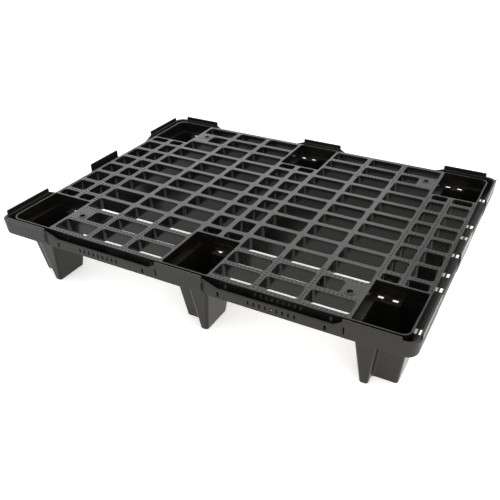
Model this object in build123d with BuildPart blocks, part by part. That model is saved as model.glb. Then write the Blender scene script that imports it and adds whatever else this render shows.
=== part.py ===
from build123d import *
import os

# Nestable half pallet, 800 x 600 mm, on six hollow feet.
# Origin: centre of the footprint, at the underside of the feet.  +X along the long side, +Z up.
# The real pallet is one moulding: each of its regions is one node, and neighbours meet face to face.

# ---- driving dimensions (mm) ----
LENGTH = 800
WIDTH = 600
HEIGHT = 140
LIP_H = 8
FRAME_H = 27
DECK_LENGTH = 768
DECK_WIDTH = 568
EDGE_R = 0.8

# open deck: rib centre lines, measured from the middle of the pallet
FIELD_RIBS_X = (44.5, 128, 207, 292.5)
CUP_COLUMN_RIB_X = 333.5
ROW_RIBS_Y = (0, 45, 93, 140, 190, 234)
RIB_W = 10.5
RIB_H = 25.5
EDGE_STRIP_X = 7
EDGE_STRIP_Y = 10
CELL_R = 5.5
CELL_WALL = 2.7
TOP_T = 3.5

# nesting cups, each with its foot
CUP_WALL = 3
CUP_RIM = 3
CUP_BACK_RIB_W = 1.5
POCKET_START_Y = 169.5
CORNER_POCKET_X = 293.5
POCKET_DEPTH = 24.5
POCKET_R = 4
CUP_CORNER_R = 17
CORNER_FOOT_X = 337.5
FOOT_Y = 222
FOOT_TOP_W = 82
FOOT_TOP_L = 112
FOOT_BOTTOM_W = 57
FOOT_BOTTOM_L = 88
LOBE_TOP_W = 41
LOBE_BOTTOM_W = 15
RECESS_TOP = 20
RECESS_BOTTOM = 22.5
FOOT_WALL_TOP = 4.5
FOOT_WALL_BOTTOM = 3.5
FOOT_FLOOR = 4
FOOT_R = 5
FOOT_INNER_R = 2.5
FOOT_EDGE_R = 1.5
SHELF_HOLE_W = 9.5
SHELF_HOLE_L = 8
SHELF_HOLES_X = (6.5, 31)
SHELF_HOLE_Y = 45
DRAIN_W = 3
DRAIN_H = 5
DRAIN_OFFSETS = (-12, 6)

# drilled plates beside the corner cups
PLATE_W = 34
PLATE_HOLE_D = 11
PLATE_RING_D = 17
PLATE_RING_H = 0.8
PLATE_HOLE_X = 268
PLATE_HOLE_Y = 220

# outer skirt, gutter and stacking lips
LEDGE_W = 6
OUTER_R = 22
COLLAR_DRAFT = 5
LONG_COLLAR_END = 286
SHORT_COLLAR_END = 172
MIDDLE_COLLAR_HALF = 47
SPAN_T = 4
SPAN_DROP = 9
SPAN_SLOPES = (26, 16)
SPAN_DRAFT = 2
SLIT_W = 2.5
SLIT_H = 15
SLIT_DROP = 5
CORNER_SLIT_X = 289
MIDDLE_SLIT_X = 45
KEY_SLOT_W = 4
KEY_SLOT_H = 10
KEY_SLOT_DROP = 19
KEY_SLOT_INSET = 27
VENT_X = 169
VENT_COUNT = 9
VENT_PITCH = 10
VENT_W = 3
VENT_H = 8
VENT_DROP = 17
GUTTER_T = 3
GUTTER_HOLE_L = 16
GUTTER_HOLE_W = 5
GUTTER_HOLE_INSET = 1.5
SIDE_GUTTER_HOLES = (0, 68, 115, 235)
LONG_GUTTER_HOLES = (0, 99, 167, 235, 335)
LIP_T = 3
LIP_END_R = 2
LONG_CORNER_LIP = (286, 376)
LONG_MIDDLE_LIP = (-46, 46)
SHORT_CORNER_LIP = (172, 279)
SHORT_MIDDLE_LIP = (-44, 44)

# ---- levels and positions that follow from them ----
DECK_TOP = HEIGHT - LIP_H
FRAME_BOTTOM = DECK_TOP - FRAME_H
RIB_BOTTOM = DECK_TOP - RIB_H
TOP_UNDERSIDE = DECK_TOP - TOP_T
POCKET_FLOOR = DECK_TOP - POCKET_DEPTH
SPAN_TOP = DECK_TOP - SPAN_DROP
OUT_X = LENGTH / 2
OUT_Y = WIDTH / 2
DECK_X = DECK_LENGTH / 2
DECK_Y = DECK_WIDTH / 2
LEDGE_X = OUT_X - LEDGE_W
LEDGE_Y = OUT_Y - LEDGE_W
INNER_R = OUTER_R - LEDGE_W
HALF_RIB = RIB_W / 2
SEAM_IN = FIELD_RIBS_X[0]
SEAM_OUT = FIELD_RIBS_X[3]
CELL_END_X = DECK_X - EDGE_STRIP_X
CELL_END_Y = DECK_Y - EDGE_STRIP_Y
POCKET_END_X = DECK_X - CUP_RIM
POCKET_END_Y = DECK_Y - CUP_RIM
MIDDLE_CUP_X = SEAM_IN + CUP_WALL
CORNER_CUP_X = CORNER_POCKET_X - CUP_WALL
CUP_START_Y = POCKET_START_Y - CUP_WALL
PLATE_CELL_Y = (ROW_RIBS_Y[4] + HALF_RIB, ROW_RIBS_Y[5] - HALF_RIB)
PLATE_X_OUT = SEAM_OUT - HALF_RIB
PLATE_X_IN = PLATE_X_OUT - PLATE_W
PLATE_CELL_X = FIELD_RIBS_X[2] + HALF_RIB
ROWS = sorted({-y for y in ROW_RIBS_Y} | set(ROW_RIBS_Y))
COLUMN_ROWS = [y for y in ROWS if abs(y) < CUP_START_Y]

# one plane for each side of the pallet: local x runs along the side, local y is up, z is outward
SIDES = {
    "front": Plane(origin=(0, 0, 0), x_dir=(1, 0, 0), z_dir=(0, -1, 0)),
    "right": Plane(origin=(0, 0, 0), x_dir=(0, 1, 0), z_dir=(1, 0, 0)),
    "back": Plane(origin=(0, 0, 0), x_dir=(-1, 0, 0), z_dir=(0, 1, 0)),
    "left": Plane(origin=(0, 0, 0), x_dir=(0, -1, 0), z_dir=(-1, 0, 0)),
}
LONG_SIDES = ("front", "back")
SIDE_SIGN = {"left": -1, "middle": 0, "right": 1, "front": -1, "back": 1}

os.makedirs("parts", exist_ok=True)


def save(piece, label):
    """Label a finished piece and write it as its own node."""
    piece.part.label = label
    export_step(piece.part, f"parts/{label}.step")


def block(x_pair, y_pair, mode=Mode.ADD):
    """A rectangle in the current sketch, from its limits in x and in y."""
    (x_low, x_high), (y_low, y_high) = sorted(x_pair), sorted(y_pair)
    with Locations(((x_low + x_high) / 2, (y_low + y_high) / 2)):
        Rectangle(x_high - x_low, y_high - y_low, mode=mode)


def round_block(x_pair, y_pair, radius, mode=Mode.ADD):
    """The same with rounded corners."""
    (x_low, x_high), (y_low, y_high) = sorted(x_pair), sorted(y_pair)
    with Locations(((x_low + x_high) / 2, (y_low + y_high) / 2)):
        RectangleRounded(x_high - x_low, y_high - y_low, radius, mode=mode)


def level(z):
    """The horizontal plane at height z."""
    return Plane.XY.offset(z)


# ---------------------------------------------------------------- deck grids
def gaps(lines, first, last):
    """Free stretches between rib centre lines, from one solid edge to the other."""
    starts = [first] + [line + HALF_RIB for line in lines]
    ends = [line - HALF_RIB for line in lines] + [last]
    return list(zip(starts, ends))


def cut_cells(columns, rows):
    """Cut the round-cornered cells of a grid through the deck."""
    with BuildSketch(level(FRAME_BOTTOM)) as cells:
        for x_pair in columns:
            for y_pair in rows:
                round_block(x_pair, y_pair, CELL_R)
    extrude(cells.sketch, amount=FRAME_H, mode=Mode.SUBTRACT)


def hollow_ribs(x_lines, y_lines, x_pair, y_pair):
    """Open the ribs from below: each becomes an upside-down U with thin walls."""
    half_groove = HALF_RIB - CELL_WALL
    with BuildSketch(level(FRAME_BOTTOM)) as grooves:
        for x in x_lines:
            block((x - half_groove, x + half_groove), y_pair)
        for y in y_lines:
            block(x_pair, (y - half_groove, y + half_groove))
    extrude(grooves.sketch, amount=TOP_UNDERSIDE - FRAME_BOTTOM, mode=Mode.SUBTRACT)


def in_plate_cell(rim):
    """Whether an edge borders one of the deck cells that a plate closes."""
    point = rim.center()
    return abs(point.X) > FIELD_RIBS_X[2] and ROW_RIBS_Y[4] < abs(point.Y) < ROW_RIBS_Y[5]


def round_cell_rims(grid):
    """Round the top edges of a grid's cells, except where a plate is let in."""
    rims = grid.faces().sort_by(Axis.Z)[-1].inner_wires().edges()
    fillet(rims.filter_by(in_plate_cell, reverse=True), EDGE_R)


def on_deck_outline(rim):
    """Whether a top edge of a cup is on the outline of the deck."""
    return abs(rim.center().X) > CELL_END_X or abs(rim.center().Y) > CELL_END_Y


def make_field(side):
    """A wide grid of long cells between two cup columns, with gaps left for cups and plates."""
    x_in = side * SEAM_IN
    x_out = side * SEAM_OUT
    x_lines = sorted(side * x for x in FIELD_RIBS_X)
    columns = gaps(x_lines, 0, 0)[1:-1]
    rows = gaps(ROWS, -CELL_END_Y, CELL_END_Y)
    with BuildPart() as field:
        with BuildSketch(level(RIB_BOTTOM)):
            block((x_in, x_out), (-DECK_Y, DECK_Y))
        extrude(amount=RIB_H)
        # the edge strips reach the underside of the frame, the ribs stop short of it
        with BuildSketch(level(FRAME_BOTTOM)):
            for end in (-1, 1):
                block((x_in, x_out), (end * CELL_END_Y, end * DECK_Y))
        extrude(amount=FRAME_H - RIB_H)
        outer_edges = field.edges().filter_by(Axis.X).group_by(Axis.Z)[-1]
        fillet(outer_edges, EDGE_R)
        cut_cells(columns, rows)
        round_cell_rims(field)
        hollow_ribs(x_lines[1:3], ROWS, (x_in, x_out), (-CELL_END_Y, CELL_END_Y))
        hollow_ribs((x_in, x_out), (), (0, 0), (-CUP_START_Y, CUP_START_Y))
        # walls of the cups stand in the border ribs
        with BuildSketch(level(FRAME_BOTTOM)):
            for end in (-1, 1):
                cup_y = (end * CUP_START_Y, end * DECK_Y)
                block((x_in, side * MIDDLE_CUP_X), cup_y)
                block((x_out, side * CORNER_CUP_X), cup_y)
        extrude(amount=FRAME_H, mode=Mode.SUBTRACT)
        with BuildSketch(level(TOP_UNDERSIDE)):
            for end in (-1, 1):
                y_pair = (end * PLATE_CELL_Y[0], end * PLATE_CELL_Y[1])
                block((side * PLATE_X_IN, side * PLATE_X_OUT), y_pair)
        extrude(amount=TOP_T, mode=Mode.SUBTRACT)
    return field


def make_column(side):
    """A narrow grid of short cells between the front cup and the back cup of one column."""
    if side:
        x_pair = sorted((side * SEAM_OUT, side * DECK_X))
        cell_pair = sorted((side * (SEAM_OUT + HALF_RIB), side * CELL_END_X))
        x_lines = (side * SEAM_OUT, side * CUP_COLUMN_RIB_X)
        groove_pair = (side * SEAM_OUT, side * CELL_END_X)
    else:
        x_pair = (-SEAM_IN, SEAM_IN)
        cell_pair = (-SEAM_IN + HALF_RIB, SEAM_IN - HALF_RIB)
        x_lines = (-SEAM_IN, 0, SEAM_IN)
        groove_pair = x_pair
    cell_end = CUP_START_Y - CUP_BACK_RIB_W
    with BuildPart() as column:
        with BuildSketch(level(RIB_BOTTOM)):
            block(x_pair, (-CUP_START_Y, CUP_START_Y))
        extrude(amount=RIB_H)
        if side:
            with BuildSketch(level(FRAME_BOTTOM)):
                block((side * CELL_END_X, side * DECK_X), (-CUP_START_Y, CUP_START_Y))
            extrude(amount=FRAME_H - RIB_H)
            top_edges = column.edges().filter_by(Axis.Y).group_by(Axis.Z)[-1]
            fillet(top_edges.sort_by(Axis.X)[-1 if side > 0 else 0], EDGE_R)
        cut_cells(gaps([side * CUP_COLUMN_RIB_X], *cell_pair), gaps(COLUMN_ROWS, -cell_end, cell_end))
        round_cell_rims(column)
        hollow_ribs(x_lines, COLUMN_ROWS, groove_pair, (-cell_end, cell_end))
    return column


for name in ("left", "right"):
    save(make_field(SIDE_SIGN[name]), f"deck_field_{name}")

for name in ("left", "middle", "right"):
    save(make_column(SIDE_SIGN[name]), f"deck_column_{name}")


# ---------------------------------------------------------------- drilled plates
def make_plate(side, end):
    """Flush plate that closes one end of a deck cell, with a fixing hole in a raised ring."""
    y_pair = (end * PLATE_CELL_Y[0], end * PLATE_CELL_Y[1])
    cell_pair = (side * PLATE_CELL_X, side * PLATE_X_IN)
    with BuildPart() as plate:
        with BuildSketch(level(TOP_UNDERSIDE)):
            block((side * (PLATE_X_IN - CELL_R), side * PLATE_X_OUT), y_pair)
            round_block(cell_pair, y_pair, CELL_R, mode=Mode.SUBTRACT)
        extrude(amount=TOP_T)
        with BuildSketch(level(RIB_BOTTOM)):
            block((side * PLATE_X_IN, side * (PLATE_X_IN + CELL_WALL)), y_pair)
        extrude(amount=RIB_H - TOP_T)
        with BuildSketch(level(DECK_TOP)):
            with Locations((side * PLATE_HOLE_X, end * PLATE_HOLE_Y)):
                Circle(PLATE_RING_D / 2)
        extrude(amount=PLATE_RING_H)
        with Locations((side * PLATE_HOLE_X, end * PLATE_HOLE_Y, DECK_TOP + PLATE_RING_H)):
            Hole(PLATE_HOLE_D / 2)
    return plate


for end_name in ("front", "back"):
    for name in ("left", "right"):
        save(make_plate(SIDE_SIGN[name], SIDE_SIGN[end_name]), f"display_plate_{end_name}_{name}")


# ---------------------------------------------------------------- nesting cups and feet
def between(bottom, top, z):
    """A foot dimension at height z, from its values at the floor and at the frame."""
    return bottom + (top - bottom) * z / FRAME_BOTTOM


def foot_outline(centre, z, hand, inside):
    """The foot's plan at height z: a rectangle with two opposite corners stepped back.

    hand 1 keeps the front lobe on the -x side, hand -1 on the +x side."""
    wall = between(FOOT_WALL_BOTTOM, FOOT_WALL_TOP, z) if inside else 0
    half_w = between(FOOT_BOTTOM_W, FOOT_TOP_W, z) / 2 - wall
    half_l = between(FOOT_BOTTOM_L, FOOT_TOP_L, z) / 2 - wall
    lobe = half_w - between(LOBE_BOTTOM_W, LOBE_TOP_W, z) + 2 * wall
    step = half_l - between(RECESS_BOTTOM, RECESS_TOP, z)
    corners = [
        (-half_w, -half_l), (-lobe, -half_l), (-lobe, -step), (half_w, -step),
        (half_w, half_l), (lobe, half_l), (lobe, step), (-half_w, step),
    ]
    with BuildSketch(level(z)) as outline:
        with BuildLine():
            Polyline([(centre[0] + hand * x, centre[1] + y) for x, y in corners], close=True)
        make_face()
        fillet(outline.vertices(), FOOT_INNER_R if inside else FOOT_R)
    return outline.sketch


def make_cup(side, end):
    """An open nesting cup in the deck, with the hollow tapered foot below it."""
    hand = 1 if side > 0 or (side == 0 and end > 0) else -1
    centre = (side * CORNER_FOOT_X, end * FOOT_Y)
    if side:
        pocket_x = (side * CORNER_POCKET_X, side * POCKET_END_X)
        cup_x = (side * CORNER_CUP_X, side * DECK_X)
    else:
        pocket_x = (-SEAM_IN, SEAM_IN)
        cup_x = (-MIDDLE_CUP_X, MIDDLE_CUP_X)
    deck_corner = (side * DECK_X, end * DECK_Y)
    with BuildPart() as cup:
        loft([foot_outline(centre, z, hand, inside=False) for z in (0, FRAME_BOTTOM)])
        fillet(cup.edges().group_by(Axis.Z)[0], FOOT_EDGE_R)
        with BuildSketch(level(FRAME_BOTTOM)) as well:
            block(cup_x, (end * CUP_START_Y, end * DECK_Y))
            if side:
                fillet(well.vertices().sort_by_distance(deck_corner)[0], CUP_CORNER_R)
        extrude(amount=FRAME_H)
        fillet(cup.faces().sort_by(Axis.Z)[-1].edges().filter_by(on_deck_outline), EDGE_R)
        with BuildSketch(level(POCKET_FLOOR)) as pocket:
            block(pocket_x, (end * POCKET_START_Y, end * POCKET_END_Y))
            corners = pocket.vertices().sort_by_distance(deck_corner)
            if side:
                fillet(corners[0], CUP_CORNER_R - CUP_RIM)
                fillet(corners[1:], POCKET_R)
            else:
                fillet(corners, POCKET_R)
        extrude(amount=POCKET_DEPTH, mode=Mode.SUBTRACT)
        fillet(cup.faces().sort_by(Axis.Z)[-1].inner_wires().edges(), EDGE_R)
        hollow = [foot_outline(centre, z, hand, inside=True) for z in (FOOT_FLOOR, POCKET_FLOOR)]
        loft(hollow, mode=Mode.SUBTRACT)
        # drain holes in the two shelves that stay beside the foot
        with BuildSketch(level(FRAME_BOTTOM)):
            for turn in (-1, 1):
                for x in SHELF_HOLES_X:
                    with Locations((centre[0] + turn * hand * x, centre[1] - turn * SHELF_HOLE_Y)):
                        Rectangle(SHELF_HOLE_W, SHELF_HOLE_L)
        extrude(amount=FRAME_H, mode=Mode.SUBTRACT)
        # drain slots at the foot of the two long side walls
        inner_x = FOOT_BOTTOM_W / 2 - FOOT_WALL_BOTTOM
        with BuildSketch(level(0)):
            for turn in (-1, 1):
                x_pair = (centre[0] - turn * hand * inner_x, centre[0] - turn * hand * FOOT_TOP_W / 2)
                for offset in DRAIN_OFFSETS:
                    y = centre[1] + turn * offset
                    block(x_pair, (y - DRAIN_W / 2, y + DRAIN_W / 2))
        extrude(amount=DRAIN_H, mode=Mode.SUBTRACT)
    return cup


for end_name in ("front", "back"):
    for name in ("left", "middle", "right"):
        save(make_cup(SIDE_SIGN[name], SIDE_SIGN[end_name]), f"nesting_cup_{end_name}_{name}")


# ---------------------------------------------------------------- skirt collars
def make_collar(x_pair, y_pair, top, slits_x=()):
    """The stretch of the outer skirt inside the given limits: a ledge on a drafted wall."""
    with BuildPart() as collar:
        with BuildSketch(level(DECK_TOP)):
            RectangleRounded(LENGTH, WIDTH, OUTER_R)
        extrude(amount=-FRAME_H, taper=COLLAR_DRAFT)
        with BuildSketch(level(FRAME_BOTTOM)):
            RectangleRounded(2 * LEDGE_X, 2 * LEDGE_Y, INNER_R)
        extrude(amount=FRAME_H, mode=Mode.SUBTRACT)
        inner_rim = collar.faces().sort_by(Axis.Z)[-1].inner_wires().edges()
        lower_rim = collar.faces().sort_by(Axis.Z)[0].outer_wire().edges()
        fillet(inner_rim + lower_rim, EDGE_R)
        with BuildSketch(level(FRAME_BOTTOM)):
            block(x_pair, y_pair)
        extrude(amount=top - FRAME_BOTTOM, mode=Mode.INTERSECT)
        if slits_x:
            with BuildSketch(level(DECK_TOP - SLIT_DROP)):
                for x in slits_x:
                    block((x - SLIT_W / 2, x + SLIT_W / 2), y_pair)
            extrude(amount=-SLIT_H, mode=Mode.SUBTRACT)
    return collar


for end_name in ("front", "back"):
    end = SIDE_SIGN[end_name]
    strip_y = (end * LEDGE_Y, end * OUT_Y)
    middle_x = (-MIDDLE_COLLAR_HALF, MIDDLE_COLLAR_HALF)
    middle_slits = (-MIDDLE_SLIT_X, MIDDLE_SLIT_X)
    save(make_collar(middle_x, strip_y, DECK_TOP, middle_slits), f"skirt_collar_{end_name}_middle")
    for name in ("left", "right"):
        side = SIDE_SIGN[name]
        corner_x = (side * LONG_COLLAR_END, side * OUT_X)
        corner_y = (end * SHORT_COLLAR_END, end * OUT_Y)
        corner = make_collar(corner_x, corner_y, DECK_TOP, (side * CORNER_SLIT_X,))
        save(corner, f"skirt_collar_{end_name}_{name}")

for name in ("left", "right"):
    strip_x = (SIDE_SIGN[name] * LEDGE_X, SIDE_SIGN[name] * OUT_X)
    middle_y = (-MIDDLE_COLLAR_HALF, MIDDLE_COLLAR_HALF)
    save(make_collar(strip_x, middle_y, SPAN_TOP), f"skirt_collar_{name}")


# ---------------------------------------------------------------- skirt spans
def make_span(side_name, start, stop, slopes):
    """Lower stretch of skirt between two collars, along the side's own x from start to stop.

    slopes are the lengths over which its top edge climbs to the collars' ledges, or 0 for level."""
    plane = SIDES[side_name]
    ledge = LEDGE_Y if side_name in LONG_SIDES else LEDGE_X
    outward = Axis(origin=(0, 0, 0), direction=plane.z_dir)
    outline = [(start, FRAME_BOTTOM), (stop, FRAME_BOTTOM)]
    outline += [(stop, DECK_TOP), (stop - slopes[1], SPAN_TOP)] if slopes[1] else [(stop, SPAN_TOP)]
    outline += [(start + slopes[0], SPAN_TOP), (start, DECK_TOP)] if slopes[0] else [(start, SPAN_TOP)]
    with BuildPart() as span:
        with BuildSketch(plane.offset(ledge)):
            with BuildLine():
                Polyline(outline, close=True)
            make_face()
        extrude(amount=SPAN_T)
        draft(span.faces().sort_by(outward)[-1], neutral_plane=level(DECK_TOP), angle=-SPAN_DRAFT)
        if side_name in LONG_SIDES:
            faces = span.faces().sort_by(outward)
            fillet(top_rims(faces[0]) + top_rims(faces[-1]), EDGE_R)
            vent_x = VENT_X if start > 0 else -VENT_X
            with BuildSketch(plane.offset(ledge)):
                with Locations((vent_x, DECK_TOP - VENT_DROP)):
                    with GridLocations(VENT_PITCH, 0, VENT_COUNT, 1):
                        Rectangle(VENT_W, VENT_H)
                for x in (start + KEY_SLOT_INSET, stop - KEY_SLOT_INSET):
                    with Locations((x, DECK_TOP - KEY_SLOT_DROP)):
                        SlotOverall(KEY_SLOT_H, KEY_SLOT_W, rotation=90)
            extrude(amount=SPAN_T, mode=Mode.SUBTRACT)
    return span


def top_rims(face):
    """The edges of a span's inner or outer face that border its top."""
    return face.edges().filter_by(lambda rim: rim.center().Z > SPAN_TOP - EDGE_R)


for side_name in SIDES:
    # local x runs counter-clockwise around the pallet, so it is mirrored at the back and left
    flip = SIDES[side_name].x_dir.X + SIDES[side_name].x_dir.Y
    long_side = side_name in LONG_SIDES
    collar_end = LONG_COLLAR_END if long_side else SHORT_COLLAR_END
    ends = ("left", "right") if long_side else ("front", "back")
    for end_name in ends:
        if SIDE_SIGN[end_name] * flip > 0:
            slopes = (SPAN_SLOPES[0] if long_side else 0, SPAN_SLOPES[1])
            span = make_span(side_name, MIDDLE_COLLAR_HALF, collar_end, slopes)
        else:
            slopes = (SPAN_SLOPES[0], SPAN_SLOPES[1] if long_side else 0)
            span = make_span(side_name, -collar_end, -MIDDLE_COLLAR_HALF, slopes)
        save(span, f"skirt_span_{side_name}_{end_name}")


# ---------------------------------------------------------------- gutter floors
def make_gutter(side_name):
    """Floor of the gutter between deck and skirt, with a row of drain holes beside the deck."""
    sign = SIDE_SIGN[side_name]
    long_side = side_name in LONG_SIDES
    hole_start = (DECK_Y if long_side else DECK_X) + GUTTER_HOLE_INSET
    across = (sign * hole_start, sign * (hole_start + GUTTER_HOLE_W))
    centres = {turn * u for u in (LONG_GUTTER_HOLES if long_side else SIDE_GUTTER_HOLES) for turn in (-1, 1)}
    with BuildPart() as gutter:
        with BuildSketch(level(FRAME_BOTTOM)):
            RectangleRounded(2 * LEDGE_X, 2 * LEDGE_Y, INNER_R)
            RectangleRounded(DECK_LENGTH, DECK_WIDTH, CUP_CORNER_R, mode=Mode.SUBTRACT)
            if long_side:
                block((-LEDGE_X, LEDGE_X), (sign * DECK_Y, sign * LEDGE_Y), Mode.INTERSECT)
            else:
                block((sign * (DECK_X - CUP_CORNER_R), sign * LEDGE_X), (-DECK_Y, DECK_Y), Mode.INTERSECT)
            for u in centres:
                along = (u - GUTTER_HOLE_L / 2, u + GUTTER_HOLE_L / 2)
                if long_side:
                    block(along, across, Mode.SUBTRACT)
                else:
                    block(across, along, Mode.SUBTRACT)
        extrude(amount=GUTTER_T)
    return gutter


for side_name in SIDES:
    save(make_gutter(side_name), f"gutter_floor_{side_name}")


# ---------------------------------------------------------------- stacking lips
def make_lip(side_name, pair, foot_level):
    """Thin upright lip on the skirt's ledge, which locates the pallet stacked on top."""
    plane = SIDES[side_name]
    outer = OUT_Y if side_name in LONG_SIDES else OUT_X
    outward = Axis(origin=(0, 0, 0), direction=plane.z_dir)
    with BuildPart() as lip:
        with BuildSketch(plane.offset(outer - LIP_T)) as face:
            block(pair, (foot_level, HEIGHT))
            fillet(face.vertices().group_by(Axis.Y)[-1], LIP_END_R)
        extrude(amount=LIP_T)
        faces = lip.faces().sort_by(outward)
        rims = [edge for side in (faces[0], faces[-1]) for edge in side.edges().sort_by(Axis.Z)[1:]]
        fillet(rims, EDGE_R)
    return lip


for side_name in SIDES:
    flip = SIDES[side_name].x_dir.X + SIDES[side_name].x_dir.Y
    long_side = side_name in LONG_SIDES
    corner = LONG_CORNER_LIP if long_side else SHORT_CORNER_LIP
    middle = LONG_MIDDLE_LIP if long_side else SHORT_MIDDLE_LIP
    middle_level = DECK_TOP if long_side else SPAN_TOP
    save(make_lip(side_name, middle, middle_level), f"stacking_lip_{side_name}_middle")
    for end_name in ("left", "right") if long_side else ("front", "back"):
        turn = SIDE_SIGN[end_name] * flip
        pair = (turn * corner[0], turn * corner[1])
        save(make_lip(side_name, pair, DECK_TOP), f"stacking_lip_{side_name}_{end_name}")
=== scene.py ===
import math

import bmesh
import bpy
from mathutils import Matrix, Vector


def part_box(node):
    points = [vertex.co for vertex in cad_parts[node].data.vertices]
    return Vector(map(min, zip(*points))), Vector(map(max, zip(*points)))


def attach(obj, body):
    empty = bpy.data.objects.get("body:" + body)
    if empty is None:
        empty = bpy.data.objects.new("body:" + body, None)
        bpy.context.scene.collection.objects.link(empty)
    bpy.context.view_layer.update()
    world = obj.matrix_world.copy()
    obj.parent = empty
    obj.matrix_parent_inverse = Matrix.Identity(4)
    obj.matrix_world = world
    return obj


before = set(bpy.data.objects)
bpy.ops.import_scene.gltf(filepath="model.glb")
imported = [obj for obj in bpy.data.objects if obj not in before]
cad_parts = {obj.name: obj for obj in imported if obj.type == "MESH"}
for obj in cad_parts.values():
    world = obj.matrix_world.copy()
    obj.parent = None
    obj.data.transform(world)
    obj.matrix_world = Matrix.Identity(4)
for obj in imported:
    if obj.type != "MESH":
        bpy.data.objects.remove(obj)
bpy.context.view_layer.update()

# The pallet's own measures, in metres. The deck's seams and levels come from the frame.
BODY = "root"
FIELD_LOW, FIELD_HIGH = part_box("deck_field_right")
COLUMN_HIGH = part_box("deck_column_right")[1]
DECK_TOP = FIELD_HIGH[2]
DECK_X = COLUMN_HIGH[0]
DECK_Y = FIELD_HIGH[1]
CUP_START = COLUMN_HIGH[1]
SEAM_IN = FIELD_LOW[0]
SEAM_OUT = FIELD_HIGH[0]
INNER_RIBS_X = (0.128, 0.207)
COLUMN_RIB_X = 0.3335
ROWS_Y = (0.0, 0.045, 0.093, 0.140)
STUDDED_ROWS_Y = (0.190, 0.234)
HALF_RIB = 0.00525
EDGE_STRIP_X = 0.007
EDGE_STRIP_Y = 0.010

# Anti-slip studs on the outer ribs of the deck. The ribs in the middle are smooth.
STUD_BAND_Y = 0.175
STUD_PITCH = 0.0075
STUD_R = 0.0018
STUD_H = 0.0009
STUD_SIDES = 8
STUD_SINK = 0.0002

# Fixing holes in the plates, and the spots beside each.
PLATE_HOLE = (0.268, 0.220)
PLATE_SPOTS = ((-0.0105, 0.0085), (0.0115, -0.009))
SPOT_R = 0.0022
SPOT_H = 0.0004

# Camera: its place in metres, its turn, and its sensor and lens in millimetres.
CAMERA_PLACE = (0.5193, -0.9782, 0.7042)
PITCH = math.radians(-32.1)
YAW = math.radians(26.96)
SENSOR_WIDTH = 36
LENS = 45.1
SHIFT_X = -0.0456

# Studio: a world whose light turns from cool on the left to warm on the right, and a floor with that turn
# painted into its colour and glow: painted shade, cool and darker, on the left and painted warm light on the
# right.
FLOOR_HALF = 12
FLOOR_GAP = 0.0002
FLOOR_GLOW = 0.55
# Painted light on the floor: its colour is darker and cooler on the left as painted shade, and warmer on the
# right as painted warm light.
FLOOR_PAINTED_SHADE_COOL = (0.80, 0.82, 0.84)
FLOOR_PAINTED_LIGHT_WARM = (0.98, 0.95, 0.90)
TINT_REACH = 0.9
WORLD_COOL = (0.96, 0.99, 1.0)
WORLD_WARM = (1.0, 0.98, 0.94)
WORLD_STRENGTH = 1.3

# Plastic: its refractive index, the dust and its colour, the noise level above which a scuff shows,
# and the strength of the grain.
IOR = 1.38
DUST = 0.3
DUST_COLOUR = (0.075, 0.072, 0.068, 1)
SCUFF = 0.71
GRAIN = 0.06


# ---------------------------------------------------------------- camera, floor and light
def add_camera():
    """The camera, fitted to the deck's grid and corners."""
    data = bpy.data.cameras.new("camera")
    data.sensor_width = SENSOR_WIDTH
    data.lens = LENS
    data.shift_x = SHIFT_X
    data.clip_end = 50
    camera = bpy.data.objects.new("camera", data)
    camera.location = CAMERA_PLACE
    camera.rotation_euler = (math.radians(90) + PITCH, 0, YAW)
    bpy.context.scene.collection.objects.link(camera)
    bpy.context.scene.camera = camera


def left_to_right(tree, vector, reach, left, right):
    """A tint that turns from left to right along x, within reach of the middle."""
    split = tree.nodes.new("ShaderNodeSeparateXYZ")
    tree.links.new(vector, split.inputs[0])
    shift = tree.nodes.new("ShaderNodeMapRange")
    shift.inputs["From Min"].default_value = -reach
    shift.inputs["From Max"].default_value = reach
    tree.links.new(split.outputs["X"], shift.inputs["Value"])
    return through(tree, shift.outputs["Result"], ((0.0, left), (1.0, right)))


def add_floor():
    """Plain pale floor that glows a little, with painted shade, cooler and darker, on the left and painted warm
    light on the right, following the world's light.
    """
    mesh = bpy.data.meshes.new("floor")
    shape = bmesh.new()
    bmesh.ops.create_grid(shape, x_segments=1, y_segments=1, size=FLOOR_HALF)
    shape.to_mesh(mesh)
    shape.free()
    floor = bpy.data.objects.new("floor", mesh)
    floor.location.z = -FLOOR_GAP
    bpy.context.scene.collection.objects.link(floor)
    material = bpy.data.materials.new("pale_floor")
    material.use_nodes = True
    tree = material.node_tree
    shader = tree.nodes["Principled BSDF"]
    place = tree.nodes.new("ShaderNodeTexCoord").outputs["Object"]
    # Painted light: the floor's colour and glow run from painted cool shade on the left to painted warm light
    # on the right.
    tint = left_to_right(tree, place, TINT_REACH, FLOOR_PAINTED_SHADE_COOL, FLOOR_PAINTED_LIGHT_WARM)
    tree.links.new(tint, shader.inputs["Base Color"])
    tree.links.new(tint, shader.inputs["Emission Color"])
    shader.inputs["Roughness"].default_value = 0.9
    shader.inputs["Emission Strength"].default_value = FLOOR_GLOW
    mesh.materials.append(material)


def add_light(name, place, size, power, colour=(1, 1, 1)):
    """A rectangular softbox that faces the pallet."""
    data = bpy.data.lights.new(name, "AREA")
    data.shape = "RECTANGLE"
    data.size, data.size_y = size
    data.energy = power
    data.color = colour
    lamp = bpy.data.objects.new(name, data)
    lamp.location = place
    lamp.rotation_euler = (-Vector(place)).to_track_quat("-Z", "Y").to_euler()
    bpy.context.scene.collection.objects.link(lamp)


def add_world():
    """White studio, a little cooler on the left and warmer on the right."""
    world = bpy.data.worlds.new("studio")
    world.use_nodes = True
    tree = world.node_tree
    background = tree.nodes["Background"]
    direction = tree.nodes.new("ShaderNodeTexCoord").outputs["Generated"]
    tint = left_to_right(tree, direction, 1, WORLD_COOL, WORLD_WARM)
    tree.links.new(tint, background.inputs["Color"])
    background.inputs["Strength"].default_value = WORLD_STRENGTH
    bpy.context.scene.world = world
    bpy.context.scene.view_settings.view_transform = "Standard"


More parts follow.
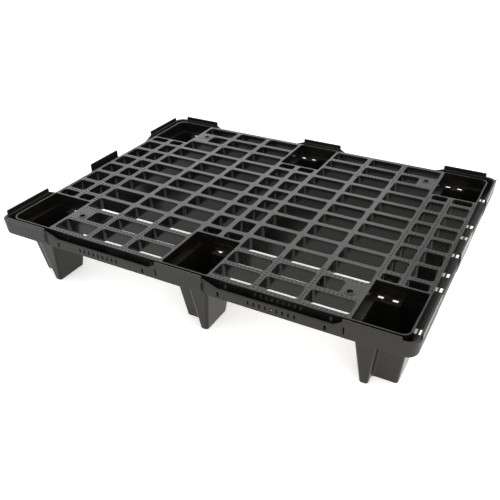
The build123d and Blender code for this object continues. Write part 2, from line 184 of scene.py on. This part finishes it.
# ---------------------------------------------------------------- materials
def ramp(tree, stops):
    """A colour ramp through (position, colour) stops; a single number stands for a grey."""
    node = tree.nodes.new("ShaderNodeValToRGB")
    elements = node.color_ramp.elements
    while len(elements) < len(stops):
        elements.new(0.5)
    for element, (position, colour) in zip(elements, stops):
        element.position = position
        element.color = (*colour, 1) if isinstance(colour, tuple) else (colour, colour, colour, 1)
    return node


def noise(tree, vector, scale, detail, roughness=0.5):
    """A noise texture's value, from a vector."""
    node = tree.nodes.new("ShaderNodeTexNoise")
    node.inputs["Scale"].default_value = scale
    node.inputs["Detail"].default_value = detail
    node.inputs["Roughness"].default_value = roughness
    tree.links.new(vector, node.inputs["Vector"])
    return node.outputs["Fac"]


def through(tree, fac, stops):
    """A socket's value sent through a colour ramp."""
    node = ramp(tree, stops)
    tree.links.new(fac, node.inputs["Fac"])
    return node.outputs["Color"]


def combine(tree, operation, first, second):
    """A maths node on two sockets or numbers."""
    node = tree.nodes.new("ShaderNodeMath")
    node.operation = operation
    for socket, value in zip(node.inputs, (first, second)):
        if isinstance(value, (int, float)):
            socket.default_value = value
        else:
            tree.links.new(value, socket)
    return node.outputs[0]


def scratches(tree, vector, turn, level):
    """Fine, nearly straight scuffs at one angle: the crests, above a level, of a stretched noise."""
    mapping = tree.nodes.new("ShaderNodeMapping")
    mapping.inputs["Rotation"].default_value = (turn / 2, turn / 3, turn)
    mapping.inputs["Scale"].default_value = (9, 420, 420)
    tree.links.new(vector, mapping.inputs["Vector"])
    crest = noise(tree, mapping.outputs["Vector"], 1.0, 2.0, 0.6)
    return through(tree, crest, ((0.0, 0.0), (level, 0.0), (level + 0.03, 1.0)))


def moulded_plastic(name, deep, pale, gloss):
    """Black moulded plastic: mottled pigment, uneven gloss, fine grain, scuffs and dust on top faces.

    The pigment varies from deep to pale, and gloss gives the lowest and the highest roughness.
    """
    material = bpy.data.materials.new(name)
    material.use_nodes = True
    tree = material.node_tree
    shader = tree.nodes["Principled BSDF"]
    place = tree.nodes.new("ShaderNodeTexCoord").outputs["Object"]
    cloud = noise(tree, place, 16, 5.0, 0.6)
    speckle = noise(tree, place, 700, 3.0, 0.65)
    ripple = noise(tree, place, 55, 2.0)
    pigment = through(tree, cloud, ((0.38, deep), (0.62, pale)))
    marks = combine(tree, "ADD", scratches(tree, place, 0.5, SCUFF), scratches(tree, place, -1.1, SCUFF + 0.01))

    # Dust settles on faces that look up, in patches.
    geometry = tree.nodes.new("ShaderNodeNewGeometry")
    split = tree.nodes.new("ShaderNodeSeparateXYZ")
    tree.links.new(geometry.outputs["Normal"], split.inputs[0])
    upward = through(tree, split.outputs["Z"], ((0.6, 0.0), (0.95, 1.0)))
    patches = through(tree, noise(tree, place, 130, 4.0, 0.7), ((0.42, 0.0), (0.75, 1.0)))
    dusty = combine(tree, "MULTIPLY", combine(tree, "MULTIPLY", upward, patches), DUST)

    soil = tree.nodes.new("ShaderNodeMix")
    soil.data_type = "RGBA"
    soil.inputs["B"].default_value = DUST_COLOUR
    cover = combine(tree, "MINIMUM", combine(tree, "ADD", dusty, combine(tree, "MULTIPLY", marks, 0.25)), 1.0)
    tree.links.new(cover, soil.inputs["Factor"])
    tree.links.new(pigment, soil.inputs["A"])
    tree.links.new(soil.outputs["Result"], shader.inputs["Base Color"])

    sheen = tree.nodes.new("ShaderNodeMapRange")
    sheen.inputs["From Min"].default_value = 0.3
    sheen.inputs["From Max"].default_value = 0.7
    sheen.inputs["To Min"].default_value = gloss[0]
    sheen.inputs["To Max"].default_value = gloss[1]
    blend = combine(tree, "ADD", combine(tree, "MULTIPLY", cloud, 0.6), combine(tree, "MULTIPLY", speckle, 0.4))
    tree.links.new(blend, sheen.inputs["Value"])
    worn = combine(tree, "ADD", sheen.outputs["Result"], combine(tree, "MULTIPLY", cover, 0.35))
    tree.links.new(worn, shader.inputs["Roughness"])
    shader.inputs["IOR"].default_value = IOR

    relief = combine(tree, "ADD", speckle, combine(tree, "MULTIPLY", ripple, 1.5))
    relief = combine(tree, "SUBTRACT", relief, combine(tree, "MULTIPLY", marks, 0.4))
    bump = tree.nodes.new("ShaderNodeBump")
    bump.inputs["Strength"].default_value = GRAIN
    bump.inputs["Distance"].default_value = 0.0004
    tree.links.new(relief, bump.inputs["Height"])
    tree.links.new(bump.outputs["Normal"], shader.inputs["Normal"])
    return material


# ---------------------------------------------------------------- studs and spots
def add_dome(shape, x, y, radius, height):
    """A low round stud on the deck, its foot sunk a little into the rib."""
    rings = []
    for scale, z in ((1.0, -STUD_SINK), (1.0, 0.1 * height), (0.8, 0.62 * height), (0.42, 0.93 * height)):
        ring = []
        for step in range(STUD_SIDES):
            angle = math.tau * step / STUD_SIDES
            corner = (x + scale * radius * math.cos(angle), y + scale * radius * math.sin(angle), DECK_TOP + z)
            ring.append(shape.verts.new(corner))
        rings.append(ring)
    for lower, upper in zip(rings, rings[1:]):
        for step in range(STUD_SIDES):
            after = (step + 1) % STUD_SIDES
            shape.faces.new((lower[step], lower[after], upper[after], upper[step]))
    shape.faces.new(rings[-1])
    shape.faces.new(rings[0][::-1])


def spread(start, stop):
    """Stud centres between two limits, at the pitch, centred."""
    count = int((stop - start) / STUD_PITCH) + 1
    margin = (stop - start - (count - 1) * STUD_PITCH) / 2
    return [start + margin + step * STUD_PITCH for step in range(count)]


def mirrored(values):
    """The values and their negatives, in order."""
    return sorted({turn * value for value in values for turn in (-1, 1)})


def bays(lines):
    """Stretches of rib between crossings."""
    clear = HALF_RIB + STUD_R
    return [(low + clear, high - clear) for low, high in zip(lines, lines[1:])]


def stud_places():
    """Centres of all the studs: the deck's rim, its outer ribs and the ends of its long inner ribs."""
    places = []
    rim_y = DECK_Y - EDGE_STRIP_Y / 2
    rim_x = DECK_X - EDGE_STRIP_X / 2
    for side in (-1, 1):
        for x in INNER_RIBS_X:
            places += [(side * x, end * y) for end in (-1, 1) for y in spread(STUD_BAND_Y, rim_y)]
        for x in (SEAM_OUT, COLUMN_RIB_X, rim_x):
            places += [(side * x, y) for y in spread(-CUP_START + STUD_PITCH, CUP_START - STUD_PITCH)]
        field_bays = bays((SEAM_IN, *INNER_RIBS_X, SEAM_OUT))
        for y in mirrored((*STUDDED_ROWS_Y, rim_y)):
            places += [(side * x, y) for bay in field_bays for x in spread(*bay)]
        for y in mirrored(ROWS_Y):
            places += [(side * x, y) for bay in bays((SEAM_OUT, COLUMN_RIB_X, rim_x)) for x in spread(*bay)]
    return places


def add_piece(name, shape, material):
    """Turn a finished mesh into a piece of the pallet's one body."""
    bmesh.ops.recalc_face_normals(shape, faces=shape.faces)
    for face in shape.faces:
        face.smooth = len(face.verts) == 4
    mesh = bpy.data.meshes.new(name)
    shape.to_mesh(mesh)
    shape.free()
    piece = bpy.data.objects.new(name, mesh)
    bpy.context.scene.collection.objects.link(piece)
    mesh.materials.append(material)
    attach(piece, BODY)


def add_studs(material):
    """The anti-slip studs, as one piece."""
    shape = bmesh.new()
    for x, y in stud_places():
        add_dome(shape, x, y, STUD_R, STUD_H)
    add_piece("anti_slip_studs", shape, material)


def add_plate_spots(material):
    """Two low round spots beside each fixing hole, as one piece."""
    shape = bmesh.new()
    for side in (-1, 1):
        for end in (-1, 1):
            for x, y in PLATE_SPOTS:
                add_dome(shape, side * (PLATE_HOLE[0] + x), end * (PLATE_HOLE[1] + y), SPOT_R, SPOT_H)
    add_piece("plate_spots", shape, material)


# ---------------------------------------------------------------- scene
add_camera()
add_floor()
add_world()
add_light("softbox_back_left", (-2.0, 2.7, 2.2), (3.4, 2.4), 24)
add_light("softbox_front_right", (2.2, -2.2, 1.6), (2.0, 1.6), 16, (1.0, 0.9, 0.8))

MATERIALS = {
    "deck": moulded_plastic("deck_plastic", (0.004, 0.004, 0.004), (0.008, 0.0078, 0.0075), (0.1, 0.26)),
    "display": moulded_plastic("plate_plastic", (0.005, 0.005, 0.005), (0.010, 0.0095, 0.009), (0.2, 0.34)),
    "nesting": moulded_plastic("cup_plastic", (0.0045, 0.0042, 0.004), (0.008, 0.0072, 0.0065), (0.12, 0.26)),
    "skirt": moulded_plastic("skirt_plastic", (0.006, 0.0058, 0.0055), (0.011, 0.0105, 0.0098), (0.38, 0.58)),
    "stacking": moulded_plastic("lip_plastic", (0.006, 0.0058, 0.0055), (0.011, 0.0105, 0.0098), (0.18, 0.32)),
    # The gutter's plastic is darker than the deck's: painted shade in the deep channel between deck and skirt.
    "gutter": moulded_plastic("gutter_plastic_painted_shade", (0.003, 0.003, 0.003), (0.006, 0.0058, 0.0055), (0.25, 0.45)),
}
for name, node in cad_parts.items():
    node.data.materials.clear()
    node.data.materials.append(MATERIALS[name.split("_")[0]])
# The studs' and spots' plastic is paler than the deck's: painted highlight that makes them read as light
# speckles.
stud_plastic_painted_highlight = moulded_plastic("stud_plastic_painted_highlight", (0.006, 0.006, 0.006), (0.012, 0.0115, 0.011), (0.2, 0.34))
add_studs(stud_plastic_painted_highlight)
add_plate_spots(stud_plastic_painted_highlight)
